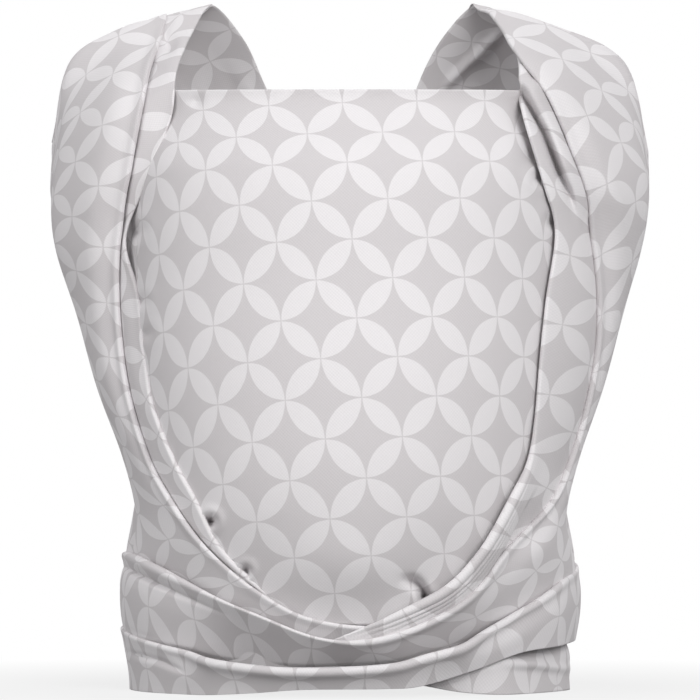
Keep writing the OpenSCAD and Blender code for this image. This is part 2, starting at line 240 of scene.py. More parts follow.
# The runs of cloth are lists of rows. A row's number in its run is its station, and station 1
# is the crest of the shoulder

# Left strap's inner lap, from behind the shoulder to the crossing, stations 9 to 12
left_inner = [
    left_row((-0.09, 76, 463), (0.03, 79, 456), (0.15, 80, 448), (0.28, 80, 437)),
    left_row((0, 50, 484), (0.1, 50, 481), (0.2, 48, 477), (0.31, 46, 471)),
    left_row((0.1, 20, 463), (0.18, 18, 461), (0.26, 16, 457), (0.36, 14, 451)),
    left_row((0.2, -61, 414), (0.28, -58, 412), (0.36, -52, 408), (0.46, -41, 403)),
    left_row((0.34, -70, 364), (0.4, -66, 361), (0.48, -57, 357), (0.58, -42, 352)),
    left_row((0.49, -56, 318), (0.52, -52, 316), (0.57, -45, 313), (0.64, -33, 309)),
    strip(-72, 256, -94, 257, ply(1), 17),
    strip(-66, 205, -92, 207, ply(1), 12),
    strip(-55, 161, -76, 162, ply(1), 4),
    strip(-45, 131, -60, 128, ply(1), ply(1)),
    strip(-35, 98, -46, 93, ply(1), ply(1)),
    strip(-23, 73, -30, 65, ply(1), ply(1)),
    strip(-12, 55, -16, 47, ply(1), ply(1)),
]

# Left strap's outer lap from the shoulder, then the same cloth under the seat, 9 to 13, round
# the right waist, 14 to 16, and the back and left waist, 17 to 23, across the front again,
# 24 to 30, and round to the knot, 35
left_run = [
    left_row((0.22, 81, 442), (0.53, 77, 414), (0.78, 70, 378), (0.88, 66, 360)),
    left_row((0.25, 47, 479), (0.61, 43, 464), (0.9, 41, 441), (1, 43, 385)),
    left_row((0.29, 14, 461), (0.61, 13, 444), (0.9, 22, 415), (1.01, 32, 370)),
    left_row((0.4, -56, 410), (0.66, -36, 401), (0.93, 0, 380), (1.01, 22, 347)),
    left_row((0.48, -64, 357), (0.73, -43, 352), (0.98, -2, 342), (0.97, 18, 328)),
    left_row((0.545, -59, 310), (0.73, -41, 308), (0.95, -4, 307), (0.93, 14, 298)),
    form_row((-79, 257, 16), (-88, 258, 28), (-99, 260, 44), (-105, 252, 44)),
    form_row((-76, 207, 13), (-85, 208, 21), (-98, 210, 32), (-105, 202, 31)),
    form_row((-66, 161, 7), (-76, 163, 11), (-93, 164, 16), (-103, 157, 15)),
    strip(-53, 131, -95, 120, ply(2), 7),
    strip(-39, 101, -80, 74, ply(2), ply(2)),
    strip(-22, 71, -50, 34, ply(2), ply(2)),
    strip(-7, 53, -22, 10, ply(2), ply(2)),
    strip(14, 50, 14, 8, ply(2), ply(2)),
    strip(42, 60, 42, 0.5, ply(2), ply(4)),
    strip(75, 76, 75, 0, ply(2), ply(5)),
    strip(98, 66, 98, 0, ply(2), ply(4)),
    band(125, 50, 0, 1),
    band(155, 40, 0, 1),
    band(185, 36, 0, 1),
    band(215, 36, 0, 2),
    band(240, 41, 0, 4.8),
    band(265, 47, 0, FRONT_PLY),
    band(292, 41, 0, FRONT_PLY),
    band(315, 31, 0, FRONT_PLY),
    band(332, 25, 2, FRONT_PLY),
    band(348, 22.5, 5, FRONT_PLY),
    band(369, 25, 5.5, FRONT_PLY),
    band(379, 31.5, 7, FRONT_PLY),
    strip(391, 40.5, 393, 16, ply(FRONT_PLY), ply(FRONT_PLY)),
    strip(411, 63, 409, 28, ply(FRONT_PLY), ply(FRONT_PLY)),
    band(428, 80, 32, 5.1),
    band(452, 90, 36, 4.7),
    band(480, 100, 50, 4),
    band(508, 116, 74, 3),
    knot_entry(1),
]

# Right strap's inner lap, from behind the shoulder to the crossing, stations 10 to 15
right_inner = [
    right_row((-0.1, 74, 463), (0.01, 77, 457), (0.12, 79, 450), (0.24, 80, 441)),
    right_row((0, 45, 485), (0.08, 46, 483), (0.16, 46, 481), (0.26, 45, 477)),
    right_row((0.12, 12, 462), (0.18, 12, 461), (0.24, 12, 459), (0.32, 12, 456)),
    right_row((0.19, -44, 437), (0.25, -43, 435), (0.32, -40, 432), (0.42, -33, 427)),
    right_row((0.235, -76, 396), (0.31, -69, 393), (0.4, -59, 389), (0.52, -45, 381)),
    right_row((0.34, -85, 350), (0.43, -77, 346), (0.54, -63, 342), (0.66, -44, 335)),
    strip(64, 315, 93, 309, 5, 25),
    strip(59, 268, 96, 268, 5, 28),
    strip(57, 228, 95, 228, 5, 26),
    strip(56, 185, 93, 188, 5, 19),
    strip(53, 155, 80, 148, 6, ply(3)),
    strip(44, 128, 66, 117, ply(3), ply(3)),
    strip(34, 97, 49, 81, ply(3), ply(3)),
    strip(23, 72, 33, 55, ply(3), ply(3)),
    strip(9, 56, 14, 38, ply(3), ply(3)),
    strip(-5, 45, -3, 33, ply(3), ply(3)),
]

# Right strap's outer lap from the shoulder, then the same cloth over the crossing under the
# seat, 10 to 15, round the left waist, 16 to 18, and on to the knot, 21
right_run = [
    right_row((-0.09, 75, 465), (0.17, 82, 447), (0.48, 78, 418), (0.76, 70, 380), (0.88, 66, 360)),
    right_row((0, 45, 487), (0.2, 46, 484), (0.55, 43, 465), (0.88, 41, 442), (1, 43, 385)),
    right_row((0.12, 10, 465), (0.27, 9, 464), (0.58, 11, 448), (0.9, 22, 416), (1.01, 32, 370)),
    right_row((0.19, -47, 439), (0.36, -44, 433), (0.6, -29, 419), (0.92, 4, 390), (1.01, 26, 350)),
    right_row((0.41, -66, 393), (0.67, -44, 387), (0.96, -2, 366), (1, 20, 338)),
    right_row((0.57, -67, 349), (0.78, -46, 347), (0.98, -5, 338), (0.96, 16, 322)),
    right_row((0.66, -55, 304), (0.78, -39, 305), (0.94, -3, 307), (0.92, 15, 298)),
    form_row((82, 257, 27), (89, 258, 35), (99, 260, 44), (105, 252, 44)),
    form_row((82, 208, 24), (89, 209, 28), (98, 210, 32), (105, 202, 31)),
    form_row((77, 160, 15), (85, 161, 16), (93, 163, 16), (103, 157, 15)),
    form_row((63, 127, ply(4)), (72, 126, ply(4)), (83, 124, 9), (95, 120, 7)),
    strip(46, 99, 80, 72, ply(4), ply(4)),
    strip(28, 66, 50, 37, ply(4), ply(4)),
    strip(9, 44, 20, 8, ply(4), ply(4)),
    strip(-6, 43, -8, 9, ply(4), ply(4)),
    band(-24, 60, 8, 4),
    band(-50, 82, 16, 4),
    band(-73, 95, 22, 4),
    band(-100, 98, 26, 4),
    band(-125, 101, 46, 3.2),
    band(-148, 116, 74, 3),
    knot_entry(-1),
]

# Angle and height of the upper and lower edge of one shoulder's cloth, from the shoulder
# blade across the back and round the far side to the panel, and past the panel's edge
back_plan = [
    [[195, 393], [238, 284]],
    [[178, 338], [222, 223]],
    [[160, 302], [201, 182]],
    [[142, 284], [177, 152]],
    [[118, 290], [143, 124]],
    [[104, 322], [112, 108]],
    [[90, 372], [91, 92]],
]
WING_PAST = 14
for edge in (PANEL_ANGLE, PANEL_ANGLE - WING_PAST):
    back_plan.append([[edge, hem_line(edge)], [edge, PANEL_BOTTOM]])
PLAN_STEP = 0.5
# Places in the plan where the cloth comes down on the form, and where it billows at the side
WING_START = 4
WING_LIES = 5.5
WING_SIDE = 6
BILLOW = 6
CREST_GAP = 0.8


def back_run(side, over):
    """One shoulder's cloth down the back and round the far side to the panel's edge.

    Its stations: 4 the shoulder blade, 12 to 16 the far side, 18 the panel's edge.
    """
    rows = [
        [(0.1, 20, 463), (0.43, 14, 451), (0.85, 18, 420), (1.01, 32, 370)],
        [
            (0, 50 + CREST_GAP, 484),
            (0.42, 46 + CREST_GAP, 470),
            (0.86, 42 + CREST_GAP, 443),
            (1, 43 + CREST_GAP, 385),
        ],
        [(-0.2, 78, 461), (0.2, 82, 438), (0.57, 76, 405), (0.87, 63, 364)],
        [(-0.34, 98, 428), (-0.02, 98, 396), (0.26, 82, 362), (0.5, 60, 330)],
    ]
    run = [spread([on_strap(side, *p) for p in row]) for row in rows]
    for place in np.arange(0, len(back_plan) - PLAN_STEP, PLAN_STEP):
        upper, lower = through(back_plan, place)[0]
        off = ply(over) * fade(place, WING_START, WING_LIES)
        puff = BILLOW * swell(place, WING_SIDE - 1, WING_SIDE, WING_SIDE, WING_SIDE + 1)
        run.append(strip(-side * upper[0], upper[1], -side * lower[0], lower[1], off + puff, off))
    return run


left_back = back_run(-1, 1)
right_back = back_run(1, 2.8)


class Cloth:
    """A stretch of cloth as a grid of points, with its normals and its own flat measure."""

    LAYERS = ("grid", "along", "across", "u", "t", "flat", "normal")

    def __init__(self, grid):
        self.grid = grid
        lengthways = np.linalg.norm(np.diff(grid, axis=0), axis=2)
        crossways = np.linalg.norm(np.diff(grid, axis=1), axis=2)
        middle = lengthways[:, lengthways.shape[1] // 2]
        self.along = np.concatenate([[0], np.cumsum(middle)])[:, None] + 0 * grid[..., 0]
        across = np.concatenate([np.zeros((len(grid), 1)), np.cumsum(crossways, 1)], 1)
        self.width = across[:, -1:]
        self.across = across - self.width / 2
        self.u = np.linspace(0, 1, grid.shape[1])[None, :] + 0 * across
        self.turn_outward()

    def turn_outward(self):
        """Works out the normals, pointing away from the form."""
        n = np.cross(np.gradient(self.grid, axis=0), np.gradient(self.grid, axis=1))
        n /= np.maximum(np.linalg.norm(n, axis=2, keepdims=True), TINY)
        centre = np.array([0, MIDDLE_Y, MIDDLE_Z])
        middle = n.shape[0] // 2, n.shape[1] // 2
        out = np.sign(np.dot(n[middle], self.grid[middle] - centre))
        self.normal = n * out

    def raise_by(self, height):
        """Lifts the cloth off its own surface, and never below the floor."""
        self.grid = self.grid + self.normal * height[..., None]
        self.grid[..., 2] = np.maximum(self.grid[..., 2], 0)

    def press_back(self, depth):
        """Pushes the cloth straight back, as seen from the front."""
        self.grid = self.grid + np.array([0, 1, 0]) * depth[..., None]

    def part(self, start, end):
        """The same cloth between two of its columns."""
        piece = copy.copy(self)
        for name in self.LAYERS:
            setattr(piece, name, getattr(self, name)[:, start:end])
        return piece

    def stretch(self, start, end):
        """The same cloth between two of its stations."""
        rows = (self.t[:, 0] > start) & (self.t[:, 0] < end)
        piece = copy.copy(self)
        piece.grid = self.grid[rows]
        piece.normal = self.normal[rows]
        return piece

    def turn_over(self):
        """Makes the last edge the first."""
        for name in self.LAYERS:
            setattr(self, name, getattr(self, name)[:, ::-1])

    def roll_edge(self, radius, turn=EDGE_TURN):
        """Rolls the first edge under on a circle."""
        radius = np.broadcast_to(radius, (len(self.grid),))[:, None]
        inward = self.grid[:, 1] - self.grid[:, 0]
        inward /= np.maximum(np.linalg.norm(inward, axis=1, keepdims=True), TINY)
        out = self.normal[:, 0]
        centre = self.grid[:, 0] - radius * out
        rolled, beyond = [], []
        for k in range(ROLL_STEPS, 0, -1):
            angle = math.radians(turn) * k / ROLL_STEPS
            rolled.append(centre + radius * (math.cos(angle) * out - math.sin(angle) * inward))
            beyond.append(radius * angle)
        beyond = np.concatenate(beyond, 1)
        first = np.linalg.norm(self.grid[:, 1] - self.grid[:, 0], axis=1, keepdims=True)
        slope = (self.flat[:, 1] - self.flat[:, 0]) / first
        edge = self.flat[:, :1] - beyond[..., None] * slope[:, None]
        self.flat = np.concatenate([edge, self.flat], 1)
        self.grid = np.concatenate([np.stack(rolled, 1), self.grid], 1)
        self.grid[..., 2] = np.maximum(self.grid[..., 2], 0)


# A row is measured in so many steps for each of its ribs
FINE = 8


def lay(run, start, end, along, across, trims):
    """Cloth over a run between two of its stations, its first edge trimmed by a few millimetres.

    Trims are pairs of a station and a width. Lengths along the cloth are measured from
    station 1, the crest of the shoulder.
    """
    fine = np.linspace(0, RIBS, FINE * RIBS + 1)
    stations = np.linspace(start, end, along + 1)
    trim = np.interp(stations, *np.array(trims, float).T)
    grid = []
    for row, cut in zip(through(run, stations), trim):
        steps = np.linalg.norm(np.diff(through(row, fine), axis=0), axis=1)
        reach = np.concatenate([[0], np.cumsum(steps)])
        even = np.linspace(cut, reach[-1], across + 1)
        grid.append(through(row, np.interp(even, reach, fine)))
    grid = np.stack(grid)
    grid[..., 2] = np.maximum(grid[..., 2], 0)
    cloth = Cloth(grid)
    cloth.across = cloth.across + trim[:, None] / 2
    cloth.t = stations[:, None] + 0 * cloth.u
    cloth.along = cloth.along - np.interp(1, cloth.t[:, 0], cloth.along[:, 0])
    return cloth


def from_line(cloth, points):
    """Distance from a line of (x, z) points seen from the front, and the share along it."""
    at = cloth.grid[..., [0, 2]]
    points = np.array(points, float)
    steps = np.diff(points, axis=0)
    lengths = np.hypot(steps[:, 0], steps[:, 1])
    before = np.concatenate([[0], np.cumsum(lengths)])
    away = np.full(at.shape[:2], np.inf)
    share = np.zeros_like(away)
    for start, step, length, passed in zip(points, steps, lengths, before):
        part = np.clip((at - start) @ step / length**2, 0, 1)
        off = np.linalg.norm(at - start - part[..., None] * step, axis=2)
        nearer = off < away
        away = np.where(nearer, off, away)
        share = np.where(nearer, (passed + part * length) / before[-1], share)
    return away, share


def within(cloth, span):
    """True between two stations of the cloth."""
    return (cloth.t > span[0]) & (cloth.t < span[1])


EVERYWHERE = (-99, 99)
# A ridge's ends keep the height that it has at this share of its line
RIDGE_END = 0.02


def ridge(cloth, points, height, width, span=EVERYWHERE):
    """Soft ridge along a line seen from the front, or a valley with a height below 0."""
    away, share = from_line(cloth, points)
    ends = np.sin(np.pi * np.clip(share, RIDGE_END, 1 - RIDGE_END)) ** 0.5
    return np.where(within(cloth, span), height * ends * bell(away, width), 0)


def pleat(cloth, points, depth, height, width, span):
    """Depth of a pleat's edge along a line seen from the front.

    The cloth is proud on the line's right, drops steeply at the line and is hollow on its left.
    """
    away, share = from_line(cloth, points)
    points = np.array(points, float)
    line_x = np.interp(-cloth.grid[..., 2], -points[:, 1], points[:, 0])
    away = away * np.sign(cloth.grid[..., 0] - line_x) / width
    proud = height * np.clip(1 + away, 0, 1) ** 5 * fade(away, 0.5, 2)
    hollow = depth * bell(2.5 * away + 1, 1)
    ends = swell(share, 0, 0.1, 0.6, 1)
    return np.where(within(cloth, span), ends * (hollow - proud), 0)


# The lip round a hollow lies this many radii out
LIP_AT = 2.2


def pocket(cloth, x, z, depth, radius, lip=0.15):
    """Depth of a small hollow at a place seen from the front, with a soft lip round it."""
    away = np.hypot(cloth.grid[..., 0] - x, cloth.grid[..., 2] - z) / radius
    return depth * (bell(away, 1) - lip * bell(away - LIP_AT, 1))


def from_edge(cloth):
    """Distance from the cloth's first edge."""
    return cloth.across - cloth.across[:, :1]


# An edge settles only on cloth this near aside and below, and its drop is evened over so many rows
SETTLE_ASIDE = 5
SETTLE_DROP = 20
SETTLE_ROWS = 17


def settle(cloth, unders, width, clear, start, end):
    """Lays the cloth's first edge down on the cloths under it, between two stations."""
    below = np.concatenate([c.grid[::2, ::2].reshape(-1, 3) for c in unders])
    outward = np.concatenate([c.normal[::2, ::2].reshape(-1, 3) for c in unders])
    drop = np.zeros((len(cloth.grid), 3))
    for k in np.flatnonzero((cloth.t[:, 0] > start) & (cloth.t[:, 0] < end)):
        way = below - cloth.grid[k, 0]
        nearest = (way**2).sum(1).argmin()
        up = outward[nearest]
        height = -way[nearest] @ up
        aside = np.linalg.norm(way[nearest] + height * up)
        if aside < SETTLE_ASIDE and abs(height) < SETTLE_DROP:
            drop[k] = -up * (height - clear)
    soft = np.hanning(SETTLE_ROWS)[1:-1] / np.hanning(SETTLE_ROWS).sum()
    for axis in range(3):
        padded = np.pad(drop[:, axis], len(soft) // 2, mode="edge")
        drop[:, axis] = np.convolve(padded, soft, "valid")
    near = bell(from_edge(cloth), width)
    cloth.grid = cloth.grid + drop[:, None] * near[..., None]
    cloth.turn_outward()


# A joined end lies this flush, comes clear within so many stations, and loosens from this one on
JOIN_FLUSH = 0.05
JOIN_CLEARS = 0.2
JOIN_LOOSENS = 1.05


def join(cloth, under, start, end, clear):
    """Lets the cloth's end run out flush into the cloth under it, between two stations."""
    below = under.grid.reshape(-1, 3)
    outward = under.normal.reshape(-1, 3)
    for k in np.flatnonzero(cloth.t[:, 0] < end):
        way = cloth.grid[k][:, None] - below
        nearest = (way**2).sum(2).argmin(1)
        up = outward[nearest]
        height = (way[np.arange(len(up)), nearest] * up).sum(1)
        station = cloth.t[k, 0]
        lies = clear - (clear - JOIN_FLUSH) * fade(station, start, start + JOIN_CLEARS)
        share = fade(station, JOIN_LOOSENS, end)
        cloth.grid[k] = cloth.grid[k] + up * ((lies - height) * share)[:, None]
    cloth.turn_outward()


def tuck(under, cloth, stations, depth, width, span=EVERYWHERE):
    """Draws the cloth under an edge in, along the edge between two of its stations."""
    rows = (cloth.t[:, 0] > stations[0]) & (cloth.t[:, 0] < stations[1])
    inward = cloth.grid[rows, 1] - cloth.grid[rows, 0]
    inward /= np.linalg.norm(inward, axis=1, keepdims=True)
    beside = cloth.grid[rows, 0] - width * inward
    under.press_back(ridge(under, beside[::4, [0, 2]], depth, width, span))


# Marks of a cloth whose print runs straight along it
PLAIN = [(0, 0, 0, 1, 0), (1000, 0, 1000, 1, 0)]


def lie_flat(cloth, marks):
    """Where the cloth lay before it was tied, which places its print.

    Marks down the cloth's middle: length along, flat x, flat y, and how far x and y move
    for each millimetre across.
    """
    along, x, y, size, skew = np.array(marks, float).T
    flat_x = np.interp(cloth.along, along, x) + cloth.across * np.interp(cloth.along, along, size)
    flat_y = np.interp(cloth.along, along, y) + cloth.across * np.interp(cloth.along, along, skew)
    cloth.flat = np.stack([flat_x, flat_y], -1)
    return cloth


def in_scene(name, data):
    """A new object at the scene's origin."""
    made = bpy.data.objects.new(name, data)
    bpy.context.scene.collection.objects.link(made)
    return made


# Points nearer than this, in metres, are one point
WELD = 1e-6


def mesh_of(name, cloth):
    """Mesh over the cloth's grid, with the cloth's own flat measure as its UV map."""
    rows, columns = cloth.grid.shape[:2]
    bm = bmesh.new()
    bmesh.ops.create_grid(bm, x_segments=columns - 1, y_segments=rows - 1, size=1)
    bm.verts.ensure_lookup_table()
    place = [
        (round((v.co.y + 1) / 2 * (rows - 1)), round((v.co.x + 1) / 2 * (columns - 1)))
        for v in bm.verts
    ]
    flat = cloth.flat * MM
    measure = bm.loops.layers.uv.new("cloth")
    for v, at in zip(bm.verts, place):
        v.co = cloth.grid[at] * MM
    for face in bm.faces:
        face.smooth = True
        for loop in face.loops:
            loop[measure].uv = flat[place[loop.vert.index]]
    middle = rows // 2, columns // 2
    out = Vector(cloth.normal[middle[0], min(middle[1], cloth.normal.shape[1] - 1)])
    bm.faces.ensure_lookup_table()
    bm.normal_update()
    at = Vector(cloth.grid[middle] * MM)
    probe = min(bm.faces, key=lambda f: (f.calc_center_median() - at).length)
    if probe.normal.dot(out) < 0:
        bmesh.ops.reverse_faces(bm, faces=bm.faces[:])
    bmesh.ops.remove_doubles(bm, verts=bm.verts[:], dist=WELD)
    mesh = bpy.data.meshes.new(name)
    bm.to_mesh(mesh)
    bm.free()
    return in_scene(name, mesh)


def linear(hex_colour):
    """sRGB hex to linear RGBA."""
    parts = [int(hex_colour[i : i + 2], 16) / 255 for i in (1, 3, 5)]
    return [p / 12.92 if p <= 0.04045 else ((p + 0.055) / 1.055) ** 2.4 for p in parts] + [1]


def add(tree, kind, inputs=None, **settings):
    """A node with its settings, and its inputs set or linked."""
    node = tree.nodes.new("ShaderNode" + kind)
    for name, value in settings.items():
        setattr(node, name, value)
    for socket, value in (inputs or {}).items():
        if isinstance(value, bpy.types.NodeSocket):
            tree.links.new(value, node.inputs[socket])
        else:
            node.inputs[socket].default_value = value
    return node


# One petal of the print from tip to tip, and how far its sides curve out
PETAL = 35.2
PETAL_CIRCLE = 0.697
GROUND = "#CFCBCC"
PETALS = "#E4E1E2"
# The print's edge wanders over this length, by this share of a petal, and is this soft
INK_WANDER = 6.0
INK_BLEED = 0.012
INK_IN = 0.004
INK_OUT = 0.016
# Real threads are about 0.5 mm apart; drawn coarser so that the weave shows
THREAD = 1.1
# Thick places in the yarn, how much of the weave they are, and how high the yarn stands
SLUB = 2.2
SLUB_SHARE = 1.6
YARN_H = 0.12


def printed_cotton(name):
    """Plain-weave cotton with overlapping circles printed in white on grey: matt, a little fuzz."""
    material = bpy.data.materials.new(name)
    material.use_nodes = True
    tree = material.node_tree
    tree.nodes.clear()
    flat = add(tree, "UVMap", uv_map="cloth").outputs["UV"]
    wander = add(tree, "TexNoise", {"Vector": flat, "Scale": PER_METRE / INK_WANDER, "Detail": 2})
    # Circles about the middles of a turned grid's cells overlap: a petal is what lies in two
    turned = add(
        tree,
        "Mapping",
        {"Vector": flat, "Rotation": (0, 0, math.radians(45)), "Scale": (PER_METRE / PETAL,) * 3},
    )
    cell = add(tree, "VectorMath", {0: turned.outputs[0]}, operation="FRACTION")
    centred = add(tree, "VectorMath", {0: cell.outputs[0], 1: (0.5, 0.5, 0)}, operation="SUBTRACT")
    corner = add(tree, "VectorMath", {0: centred.outputs[0]}, operation="ABSOLUTE")
    axes = add(tree, "SeparateXYZ", {0: corner.outputs[0]})
    both = {0: axes.outputs[0], 1: axes.outputs[1]}
    far = add(tree, "Math", both, operation="MAXIMUM")
    near = add(tree, "Math", both, operation="MINIMUM")
    beyond = add(tree, "Math", {0: 1.0, 1: far.outputs[0]}, operation="SUBTRACT")
    own_arm = add(tree, "CombineXYZ", {0: far.outputs[0], 1: near.outputs[0]})
    next_arm = add(tree, "CombineXYZ", {0: beyond.outputs[0], 1: near.outputs[0]})
    own = add(tree, "VectorMath", {0: own_arm.outputs[0]}, operation="LENGTH")
    other = add(tree, "VectorMath", {0: next_arm.outputs[0]}, operation="LENGTH")
    reach = add(
        tree,
        "Math",
        {0: own.outputs["Value"], 1: other.outputs["Value"]},
        operation="MAXIMUM",
    )
    bled = add(
        tree,
        "Math",
        {0: wander.outputs[0], 1: INK_BLEED, 2: reach.outputs[0]},
        operation="MULTIPLY_ADD",
    )
    petal = add(
        tree,
        "MapRange",
        {
            "Value": bled.outputs[0],
            "From Min": PETAL_CIRCLE - INK_IN,
            "From Max": PETAL_CIRCLE + INK_OUT,
            "To Min": 1.0,
            "To Max": 0.0,
        },
        interpolation_type="SMOOTHSTEP",
    )
    # Plain weave with thick places in its yarn
    threads = add(tree, "Mapping", {"Vector": flat, "Scale": (PER_METRE / THREAD * math.pi,) * 3})
    ways = add(tree, "SeparateXYZ", {0: threads.outputs[0]})
    warp = add(tree, "Math", {0: ways.outputs[0]}, operation="SINE")
    weft = add(tree, "Math", {0: ways.outputs[1]}, operation="SINE")
    weave = add(tree, "Math", {0: warp.outputs[0], 1: weft.outputs[0]}, operation="MULTIPLY")
    slub = add(
        tree,
        "TexNoise",
        {"Vector": flat, "Scale": PER_METRE / SLUB, "Detail": 3, "Roughness": 0.7},
    )
    yarn = add(
        tree,
        "Math",
        {0: slub.outputs[0], 1: SLUB_SHARE, 2: weave.outputs[0]},
        operation="MULTIPLY_ADD",
    )
    # Painted shade and light of the weave, lighter on the threads and darker between them, with the
    # slubs' random tone
    weave_shade_and_slub_tone = add(
        tree,
        "MapRange",
        {
            "Value": yarn.outputs[0],
            "From Min": -0.4,
            "From Max": 2.0,
            "To Min": 0.955,
            "To Max": 1.035,
        },
    )
    # Two inks under painted shade of the weave, a little lighter on the yarn and darker between the
    # threads, with the random tone of the yarn's thick places
    inks = add(
        tree,
        "Mix",
        {"Factor": petal.outputs[0], 6: linear(GROUND), 7: linear(PETALS)},
        data_type="RGBA",
    )
    tone = add(tree, "VectorMath", {0: inks.outputs[2], 3: weave_shade_and_slub_tone.outputs[0]}, operation="SCALE")
    bump = add(tree, "Bump", {"Height": yarn.outputs[0], "Strength": 0.25, "Distance": YARN_H * MM})
    surface = add(
        tree,
        "BsdfPrincipled",
        {
            "Base Color": tone.outputs[0],
            "Normal": bump.outputs[0],
            "Roughness": 0.92,
            "IOR": 1.46,
            "Specular IOR Level": 0.18,
            "Sheen Weight": 0.12,
            "Sheen Roughness": 0.6,
        },
    )
    add(tree, "OutputMaterial", {0: surface.outputs[0]})
    return material


cotton = printed_cotton("cotton plain weave printed")


def sewn(name, cloth, thickness, body, slot, *nodes):
    """A piece of cotton over a cloth, on its body in place of its nodes.

    Half of the thickness goes to each side. A closed form has none.
    """
    piece = mesh_of(name, cloth)
    if thickness:
        wall = piece.modifiers.new("cloth thickness", "SOLIDIFY")
        wall.thickness = thickness * MM
        wall.offset = 0
        wall.use_even_offset = False
    piece.data.materials.append(cotton)
    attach(piece, body)
    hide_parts(*nodes)
    return piece


# Seat panel from its lower edge to the fold of its hem, as one cloth that the hem continues
PANEL_ROWS = 176
PANEL_COLUMNS = 224
HEM_ROWS = 8
angle = np.linspace(-PANEL_ANGLE, PANEL_ANGLE, PANEL_COLUMNS + 1)[:, None]
share = np.linspace(0, 1, PANEL_ROWS + 1)[None, :]
below_hem = PANEL_BOTTOM + (hem_line(angle) - PANEL_BOTTOM) * share
on_hem = hem_line(angle) + HEM_H * np.linspace(0, 1, HEM_ROWS + 1)[None, 1:]
panel = Cloth(on_form(angle, np.concatenate([below_hem, on_hem], 1)))
steps = np.diff(panel.grid, axis=0, prepend=panel.grid[:1])
girth = np.cumsum(np.linalg.norm(steps, axis=2), 0)
girth -= girth[PANEL_COLUMNS // 2]
height = panel.across + panel.width / 2
# The print hangs a little askew on the panel: it leans left, climbs to the right, hangs down at
# both sides and is stretched towards the top
PRINT_X = 33.4
PRINT_Y = -246
PRINT_WIDE = 0.976
PRINT_TALL = 0.965
PRINT_LEAN = 0.057
PRINT_STRETCH = 0.00012
PRINT_CLIMB = 0.03
PRINT_HANG = 8e-5
print_x = PRINT_X + PRINT_WIDE * girth + PRINT_LEAN * height
print_y = PRINT_Y + PRINT_TALL * height - PRINT_STRETCH * height**2
print_y = print_y - PRINT_CLIMB * girth + PRINT_HANG * girth**2
panel.flat = np.stack([print_x, print_y], -1)
panel.t = angle + 0 * panel.u


def side_hollows(cloth):
    """Where the straps draw the panel and the cloth beside it in."""
    return (
        pocket(cloth, x=-146, z=316, depth=9, radius=5)
        + pocket(cloth, x=-142, z=267, depth=6, radius=4)
        + pocket(cloth, x=-138, z=244, depth=5, radius=4)
        + pocket(cloth, x=129, z=351, depth=9, radius=4)
        + pocket(cloth, x=125, z=364, depth=6, radius=7)
        + pocket(cloth, x=138, z=321, depth=6, radius=4)
        + ridge(cloth, [(115, 411), (123, 387), (131, 366), (140, 343)], height=7, width=9)
    )


panel_x = panel.grid[..., 0]
panel_z = panel.grid[..., 2]
# The seat is full in the middle, and the lower edge goes in under the straps at both sides
seat_full = 6 * bell(panel_x, 45) * bell(panel_z - 86, 25)
under_straps = 8 * fade(panel_z, 50, 64) * grow(np.abs(panel_x), 45, 70)
panel.press_back(
    side_hollows(panel)
    + pocket(panel, x=-93, z=117, depth=15, radius=3.2)
    + pocket(panel, x=-69, z=84, depth=11, radius=2.7)
    + pocket(panel, x=50, z=66, depth=19, radius=3.1, lip=0.1)
    + ridge(panel, [(36, 78), (43, 77), (48, 72), (50, 64)], height=14, width=3.2)
    + pocket(panel, x=-105, z=404, depth=2, radius=4)
    - seat_full
    + under_straps
)
panel.turn_outward()

panel.turn_over()
hem = panel.part(0, HEM_ROWS + 1)
folded = panel.part(0, None)
folded.roll_edge(HEM_FOLD, HEM_TURN)
seat_panel = sewn("seat_panel", folded, CLOTH_T, "wrap", "panel_cloth", "front_panel")

# The hem is the panel's top turned in and sewn down behind it
hem.grid = hem.grid - 2 * HEM_FOLD * hem.normal
hem.flat = hem.flat * [1, -1]
panel_hem = sewn("panel_hem", hem, CLOTH_T, "wrap", "hem_cloth", "panel_top_hem")

# Each shoulder's cloth over the back, and on round the far side to the panel. It dives under
# the strap's laps in front of the shoulder, and flares over the waist where the bands hold it
left_back_marks = [(-60, 86, -93, 1, 0.09), (1000, -10, 962, 1, 0.09)]
right_back_marks = [(-60, 112, -84, 1.03, 0.42), (1000, -329, 1008, 1.03, 0.42)]
